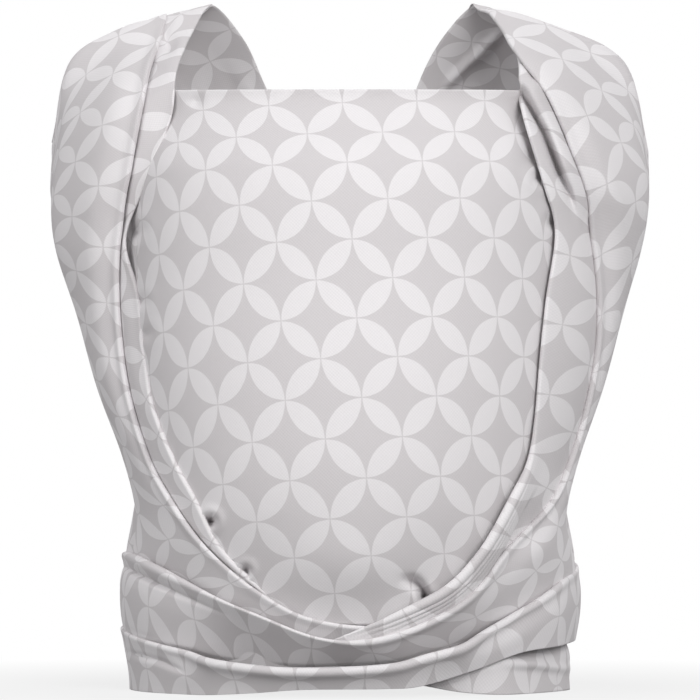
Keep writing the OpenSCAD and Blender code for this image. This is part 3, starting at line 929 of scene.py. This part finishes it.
# Its first and last station, the one where it comes to the side, and how far its start is
# trimmed and sinks
BACK_START = 0.7
BACK_END = 18
WING_FROM = 13
BACK_TRIM = 2.5
BACK_SINK = 2.5
WIDE_GATHERS = 6
FINE_GATHERS = 11
GATHER_H = 0.8
FLARE = 12
neck_valley = [(68, 429), (86, 447), (108, 466)]
backs = []
for run, marks, name, nodes in (
    (left_back, left_back_marks, "left_back_cloth", ("left_back_pass", "right_wing")),
    (right_back, right_back_marks, "right_back_cloth", ("right_back_pass", "left_wing")),
):
    trims = [(BACK_START, BACK_TRIM), (1.0, 0)]
    cloth = lay(run, BACK_START, BACK_END, along=240, across=84, trims=trims)
    lie_flat(cloth, marks)
    gathers = np.cos(2 * np.pi * WIDE_GATHERS * cloth.u + 0.6 * np.sin(cloth.t))
    gathers += 0.5 * np.cos(2 * np.pi * FINE_GATHERS * cloth.u + cloth.t)
    flare = grow(cloth.u, 0.66, 1.02) * swell(cloth.t, 11, 14, 16, 18)
    cloth.raise_by(
        GATHER_H * gathers * swell(cloth.t, 1.5, 4, 9, 14)
        + FLARE * flare
        - BACK_SINK * fade(cloth.t, 0.75, 1.0)
    )
    if run is right_back:
        beside_strap = bell(cloth.grid[..., 2] - 312, 22) * swell(cloth.t, 14, 15.5, 16, 17.2)
        cloth.raise_by(
            -ridge(cloth, neck_valley, height=7, width=2.8, span=(1, 4)) + 3.5 * beside_strap
        )
    cloth.press_back(np.where(cloth.t > WING_FROM, side_hollows(cloth), 0))
    cloth.turn_outward()
    backs.append(cloth)
    piece = sewn(name, cloth, CLOTH_T, "wrap", "back_cloth", *nodes)

# A lap runs out behind the shoulder's crest, flush with the back cloth that it continues
LAP_START = 0.62
LAP_SINK = 2

# Left strap: the inner lap lies down on the panel, the outer lap folds over it
left_lap_trims = [(1.0, 1), (2.4, 3), (3, 7), (3.4, 10), (5, 10), (5.5, 8), (6, 6.5)]
left_lap_trims += [(7, 5.5), (8, 4.5), (9.5, 5), (12, 3)]
left_lap = lay(left_inner, LAP_START, 12, along=180, across=40, trims=left_lap_trims)
lie_flat(left_lap, [(-60, -122, -132, 0.84, -0.66), (700, 380, 502, 0.84, -0.66)])
settle(left_lap, [panel], width=14, clear=1.0, start=2.7, end=4.7)
settle(left_lap, [panel], width=10, clear=1.8, start=4.7, end=7)
neck_crease = [(-126, 475), (-131, 460), (-129, 448)]
left_lap.raise_by(
    -pocket(left_lap, x=-128, z=449, depth=3, radius=5, lip=0.4)
    + ridge(left_lap, neck_crease, height=-1.5, width=3, span=(1, 4))
)
join(left_lap, backs[0], LAP_START, end=1.3, clear=0.9)

left_trims = [(4, 5.5), (5, 9.5), (6, 9.5), (7, 8), (8, 7), (9, 7.5), (11, 5.5)]
left_cloth = lay(left_run, LAP_START, 35, along=600, across=60, trims=left_trims)
left_marks = [
    (-60, -26, -92, -0.85, 0.16),
    (100, -26, 110, -0.85, 0.16),
    (239, -21, 293, -0.85, 0.16),
    (287, -17, 345, -0.85, 0.1),
    (344, -43, 398, -0.85, 0),
    (400, -77, 448, -0.85, 0),
    (560, -26, 643, -0.85, 0),
    (674, -26, 747, -0.85, 0),
    (706, -20, 772, -0.85, 0),
    (1100, -26, 1240, -0.85, 0),
    (1300, -21.5, 1461, -0.85, 0),
    (1490, -24, 1668, -0.85, 0),
    (1537, -28, 1717, -0.85, 0),
    (1588, -33, 1767, -0.85, 0),
    (1656, -24, 1817, -0.85, 0),
    (2250, -21.5, 2474, -0.85, 0),
]
lie_flat(left_cloth, left_marks)
settle(left_cloth, [left_lap], width=16, clear=1.2, start=0.6, end=2.2)
settle(left_cloth, [left_lap, panel], width=12, clear=2.8, start=2.2, end=13)
join(left_cloth, backs[0], LAP_START, end=1.3, clear=1.9)

# Right strap: smooth over the shoulder, then pleats that fan out from the neck
right_lap_trims = [(2.8, 8), (3.5, 4), (13.4, 4), (14.4, 5.5), (15, 8)]
right_lap = lay(right_inner, 1.15, 15, along=220, across=48, trims=right_lap_trims)
lie_flat(right_lap, [(-60, -9, -314, 0.47, -0.07), (800, 50, 563, 0.47, -0.07)])
pleat_line = [(118, 420), (124, 407), (130, 396), (136, 385), (146, 358), (154, 341), (158, 320)]
inset = from_edge(right_lap)
# Fine folds in the roll along the lap's lower part, and what the outer lap hides
FOLD_APART = 3.4
folds = (3.5 + 0.5 * np.cos(2 * np.pi * inset / FOLD_APART)) * bell(inset, 10)
rolled = swell(right_lap.t, 9, 11, 13.2, 15)
hidden = grow(right_lap.t, 10.2, 11.6) * grow(inset, 13, 22)
right_lap.raise_by(folds * rolled - LAP_SINK * fade(right_lap.t, 2.6, 3.3) - 8 * hidden)
right_lap.press_back(pleat(right_lap, pleat_line, depth=15, height=10, width=8, span=(2, 7)))
right_lap.turn_outward()

right_trims = [(1.0, 0.5), (1.8, 2.5), (2.6, 4), (3.5, 9.5), (4.2, 13), (5.5, 12)]
right_trims += [(7, 10), (9, 6), (12, 5.5)]
right_cloth = lay(right_run, LAP_START, 21, along=380, across=60, trims=right_trims)
right_marks = [
    (-60, 12, -101, 0.72, 0.52),
    (180, -6, 180, 0.72, 0.52),
    (330, 0, 348, 0.72, 0.21),
    (443, -3, 469, 1.2, -0.2),
    (512, -16, 522, 1.2, -0.2),
    (595, 4, 597, 0.88, 0),
    (1300, 4, 1364, 0.88, 0),
]
lie_flat(right_cloth, right_marks)
settle(right_cloth, [right_lap], width=12, clear=2.8, start=3.4, end=13)
side_unders = [backs[1], left_cloth.stretch(7, 12)]
settle(right_cloth, side_unders, width=16, clear=2.8, start=15.5, end=20)
join(right_cloth, backs[1], LAP_START, end=1.7, clear=0.5)
# Under the seat its lower edge leans in, and at the left side it stands off below its upper edge
lean = swell(right_cloth.t, 9.8, 10.8, 16, 17) * fade(np.abs(right_cloth.grid[..., 0]), 70, 150)
at_side = swell(right_cloth.t, 15.8, 17.2, 18.8, 20)
soft_fold = [(133, 423), (148, 401), (162, 378), (171, 357), (186, 332), (194, 298)]
right_cloth.raise_by(
    ridge(right_cloth, soft_fold, height=2, width=7, span=(1, 8))
    - 22 * lean * right_cloth.u
    + 2.5 * at_side * grow(right_cloth.u, 0.05, 0.3)
)

# The left strap's cloth goes in under the crossing, and its front turn lies on the band under it
beneath = swell(left_cloth.t, 10.5, 11.5, 13.4, 14.2)
beside = swell(left_cloth.t, 12.7, 13.6, 15.2, 16.4)
left_cloth.raise_by(-14 * beneath * left_cloth.u - 11 * beside * fade(left_cloth.u, 0.3, 0.7))
left_cloth.turn_outward()
unders = [right_cloth, left_cloth.stretch(13, 17.5), *backs]
settle(left_cloth, unders, width=10, clear=1.4, start=20.5, end=23.5)
settle(left_cloth, unders, width=10, clear=3, start=23.5, end=30.6)
settle(left_cloth, unders, width=10, clear=1.2, start=30.6, end=34)
lean = swell(left_cloth.t, 22.5, 24, 29, 31)
right_waist_fold = [(97, 25), (108, 21), (126, 19), (152, 14)]
left_waist_crease = [(-152, 26), (-128, 22), (-114, 16)]
left_cloth.raise_by(
    -6 * lean * left_cloth.u
    + ridge(left_cloth, right_waist_fold, height=2.8, width=3, span=(13.5, 17))
    + ridge(left_cloth, left_waist_crease, height=-2.2, width=2.5, span=(21, 25))
)
tuck(left_lap, left_cloth, stations=(3, 12), depth=5, width=1.8)
tuck(left_cloth, right_cloth, stations=(15.4, 18.5), depth=4, width=3, span=(8, 12))
tuck(right_cloth, left_cloth, stations=(21, 31), depth=4, width=2, span=(11, 18.5))
for cloth in (left_lap, left_cloth, right_cloth):
    cloth.turn_outward()


def lip(cloth, height, width):
    """Height of a full edge over the cloth beside it."""
    return height * bell(from_edge(cloth), width)


def crest_roll(cloth):
    """Share of an edge's roll, which starts in front of the shoulder's crest."""
    return 0.06 + 0.94 * grow(cloth.t[:, 0], 0.9, 1.8)


left_lap.roll_edge(crest_roll(left_lap) * (0.5 + grow(left_lap.t[:, 0], 4.5, 6)))
piece = sewn("left_inner_lap", left_lap, CLOTH_T, "wrap", "strap_cloth", "left_strap_inner_lap")

# The edge's roll and lip are less at the left side, at the crossing and past the front turn
at_side = swell(left_cloth.t, 19.5, 20.5, 22.5, 24.5)
crossing = swell(left_cloth.t, 9.4, 10.4, 12.5, 13.5)
front_turn = swell(left_cloth.t, 22.5, 25, 30, 32)
round_side = grow(left_cloth.t, 30.6, 31.6)
full = grow(left_cloth.t, 1, 2.6) * (1 - 0.7 * (at_side + crossing + round_side))
edge_lip = lip(left_cloth, height=1.6, width=4)
front_lip = lip(left_cloth, height=1.2, width=10)
left_cloth.raise_by(full * edge_lip + front_turn * front_lip)
roll = 0.8 + 1.2 * full + 0.7 * front_turn
left_cloth.roll_edge(crest_roll(left_cloth) * roll[:, 0])
piece = sewn(
    "left_run_cloth",
    left_cloth,
    CLOTH_T,
    "wrap",
    "strap_cloth",
    "left_strap_outer_lap",
    "cross_under_pass",
    "right_waist_turn",
    "back_waist_turn",
    "left_waist_turn",
    "front_waist_turn",
    "right_waist_end",
)

right_lap.roll_edge(1.2 + 1.8 * rolled[:, 0] - 0.8 * grow(right_lap.t[:, 0], 13.5, 14.8))
piece = sewn("right_inner_lap", right_lap, CLOTH_T, "wrap", "strap_cloth", "right_strap_inner_lap")

# A thick roll along the top of the band over the left waist, with a crease under it
band_roll = swell(right_cloth.t, 15.2, 16.6, 16.9, 17.9)
flat_edge = swell(right_cloth.t, 13.2, 14, 15.2, 16.2)
crease = 4.5 * bell(from_edge(right_cloth) - 9, 1.8)
full = grow(right_cloth.t, 3, 4) * (1 - flat_edge)
edge_lip = lip(right_cloth, height=1.6, width=4)
band_lip = lip(right_cloth, height=1.5, width=7)
right_cloth.raise_by(full * edge_lip + band_roll * (band_lip - crease))
roll = 1.2 + 0.8 * full + 1.4 * band_roll - 0.5 * flat_edge
right_cloth.roll_edge(crest_roll(right_cloth) * roll[:, 0])
piece = sewn(
    "right_run_cloth",
    right_cloth,
    CLOTH_T,
    "wrap",
    "strap_cloth",
    "right_strap_outer_lap",
    "cross_over_pass",
    "left_waist_end",
)


def ring_of(radius, length, around, along):
    """Tube of folded cloth about the knot's own line.

    Its radius is a function of the share along the tube and the angle round it.
    """
    share = np.linspace(0, 1, along + 1)[None, :]
    angle = np.linspace(0, 2 * np.pi, around + 1)[:, None]
    r = radius(share, angle) + 0 * share * angle
    x = length / 2 * (2 * share - 1) + 0 * r
    y = KNOT_Y - r * np.cos(angle)
    z = KNOT_Z + r * np.sin(angle)
    cloth = Cloth(np.stack([x, y, z], -1))
    middle = np.array([0, KNOT_Y, KNOT_Z])
    row = around // 2, along // 2
    cloth.normal *= np.sign(np.dot(cloth.normal[row], cloth.grid[row] - middle))
    return lie_flat(cloth, PLAIN)


def core_radius(s, a):
    """Gathered ends that run through the knot: deep folds lengthways, rounded at both ends."""
    folds = CORE_R - CORE_FOLD + CORE_FOLD * np.cos(CORE_FOLDS * a + 2 * s)
    return folds * np.sqrt(1 - (2 * s - 1) ** 10)


def winding_radius(s, a):
    """Cloth wound round the core: full turns with hollows between them, and fine wrinkles."""
    bulge = WIND_T * np.sin(np.pi * s) ** 0.35
    hollow = WIND_T / 6 * np.cos(WIND_TURNS * np.pi * s) ** 2
    wrinkle = 0.35 * np.cos(2 * np.pi * 7 * s + 1.5 * np.sin(a)) + 0.3 * np.sin(2 * a + 5 * s)
    return WIND_R + np.maximum(bulge - hollow + wrinkle * np.sin(np.pi * s), 0.3)


knot_core = ring_of(core_radius, CORE_L, around=120, along=40)
sewn("knot_core_cloth", knot_core, 0, "wrap", "knot_cloth", "knot_core")

knot_winding = ring_of(winding_radius, WIND_W, around=128, along=56)
piece = sewn("knot_winding_cloth", knot_winding, CLOTH_T, "wrap", "knot_cloth", "knot_winding")

# Shares of a tail's length: where its cloth starts, clear of the winding so that it swings free
# of it, and where its hem does
TAIL_L = TAIL_TOP - TAIL_CLEAR
TAIL_FROM = 0.014
HEM_FROM = 1 - HEM_H / TAIL_L


def tail_cloth(side, start, end, along, across):
    """Part of a tail, which is gathered at the top and opens to its hem."""
    v = np.linspace(start, end, along + 1)[:, None]
    u = np.linspace(0, 1, across + 1)[None, :]
    wide = TAIL_TOP_W + (TAIL_END_W - TAIL_TOP_W) * v
    x = side * (TAIL_SPLIT / 2 + v * TAIL_LEAN + wide * u)
    pleats = 0.5 - 0.5 * np.cos(2 * np.pi * TAIL_PLEATS * u)
    y = KNOT_Y + TAIL_LEAN * v + pleats * (TAIL_PLEAT_TOP + TAIL_PLEAT_MORE * grow(v, 0, 0.4))
    z = TAIL_TOP - TAIL_L * v + 0 * u
    cloth = Cloth(np.stack([x, y, z], -1))
    cloth.along = cloth.along + start * TAIL_L
    return lie_flat(cloth, PLAIN)


for side, name in ((-1, "left_tail"), (1, "right_tail")):
    cloth = tail_cloth(side, TAIL_FROM, HEM_FROM, along=60, across=72)
    tail = sewn(name + "_cloth", cloth, CLOTH_T, name, "knot_cloth", name)
    cloth = tail_cloth(side, HEM_FROM, 1, along=8, across=72)
    tail_hem = sewn(name + "_hem_cloth", cloth, HEM_T, name, "hem_cloth", name + "_hem")


def lamp(name, place, aim, size, power):
    """Square soft light at a place, aimed at another."""
    light = bpy.data.lights.new(name, "AREA")
    light.size = size
    light.energy = power
    holder = in_scene(name, light)
    holder.location = place
    holder.rotation_euler = (Vector(aim) - Vector(place)).to_track_quat("-Z", "Y").to_euler()


# Plain soft studio light
SEAT = (0, 0, 0.25)
lamp("key from the upper right", place=(1.2, -2.9, 1.4), aim=SEAT, size=1.6, power=63)
lamp("fill from the left", place=(-2.2, -2.0, 1.4), aim=SEAT, size=2.0, power=26)
lamp("back light", place=(0.3, 2.4, 1.6), aim=SEAT, size=1.6, power=22)


def white_to_camera(tree, lit, share):
    """Shader that the camera sees as white by that share, and that lights as it is."""
    seen = add(tree, "LightPath")
    glossy = add(
        tree,
        "Math",
        {0: seen.outputs["Is Camera Ray"], 1: seen.outputs["Is Glossy Ray"]},
        operation="MAXIMUM",
    )
    clear = add(
        tree,
        "Math",
        {0: glossy.outputs[0], 1: seen.outputs["Is Transmission Ray"]},
        operation="MAXIMUM",
    )
    part = add(tree, "Math", {0: clear.outputs[0], 1: share}, operation="MULTIPLY")
    kind = "Background" if lit.type == "BACKGROUND" else "Emission"
    white = add(tree, kind, {"Color": (1, 1, 1, 1), "Strength": 1.0})
    return add(tree, "MixShader", {0: part.outputs[0], 1: lit.outputs[0], 2: white.outputs[0]})


# Light from all round, brighter from above than from below
world = bpy.data.worlds.new("studio")
bpy.context.scene.world = world
world.use_nodes = True
tree = world.node_tree
tree.nodes.clear()
way = add(tree, "TexCoord")
up = add(tree, "SeparateXYZ", {0: way.outputs["Generated"]})
level = add(
    tree,
    "MapRange",
    {"Value": up.outputs[2], "From Min": -0.3, "From Max": 0.7, "To Min": 0.09, "To Max": 0.7},
    interpolation_type="SMOOTHSTEP",
)
sky = add(tree, "Background", {"Color": linear("#F4F4F6"), "Strength": level.outputs[0]})
seen_sky = white_to_camera(tree, sky, 1.0)
add(tree, "OutputWorld", {0: seen_sky.outputs[0]})

# Pale floor that keeps the object's shadow close by and runs out to white
FLOOR_REACH = 6
bm = bmesh.new()
bmesh.ops.create_grid(bm, x_segments=1, y_segments=1, size=FLOOR_REACH)
floor_mesh = bpy.data.meshes.new("floor")
bm.to_mesh(floor_mesh)
bm.free()
floor = in_scene("floor", floor_mesh)
paper = bpy.data.materials.new("matt white paper floor")
paper.use_nodes = True
tree = paper.node_tree
tree.nodes.clear()
place = add(tree, "TexCoord")
reach = add(tree, "VectorMath", {0: place.outputs["Object"]}, operation="LENGTH")
whiteness = add(
    tree,
    "MapRange",
    {
        "Value": reach.outputs["Value"],
        "From Min": 0.2,
        "From Max": 0.6,
        "To Min": 0.8,
        "To Max": 1.0,
    },
)
matt = add(tree, "BsdfDiffuse", {"Color": linear("#9E9E9E"), "Roughness": 1.0})
seen_floor = white_to_camera(tree, matt, whiteness.outputs[0])
add(tree, "OutputMaterial", {0: seen_floor.outputs[0]})
floor.data.materials.append(paper)

# Camera straight in front, a little below the middle and looking a little up
CAMERA_AWAY = 3000
CAMERA_Z = 130
AIM_Z = 236
camera = in_scene("camera", bpy.data.cameras.new("camera"))
camera.data.sensor_width = 36
camera.data.lens = 220.4
camera.location = (0, (MIDDLE_Y - CAMERA_AWAY) * MM, CAMERA_Z * MM)
target = Vector((0, MIDDLE_Y * MM, AIM_Z * MM))
camera.rotation_euler = (target - camera.location).to_track_quat("-Z", "Y").to_euler()
camera.data.clip_end = 50
bpy.context.scene.camera = camera
bpy.context.scene.view_settings.view_transform = "Standard"

bpy.context.view_layer.update()
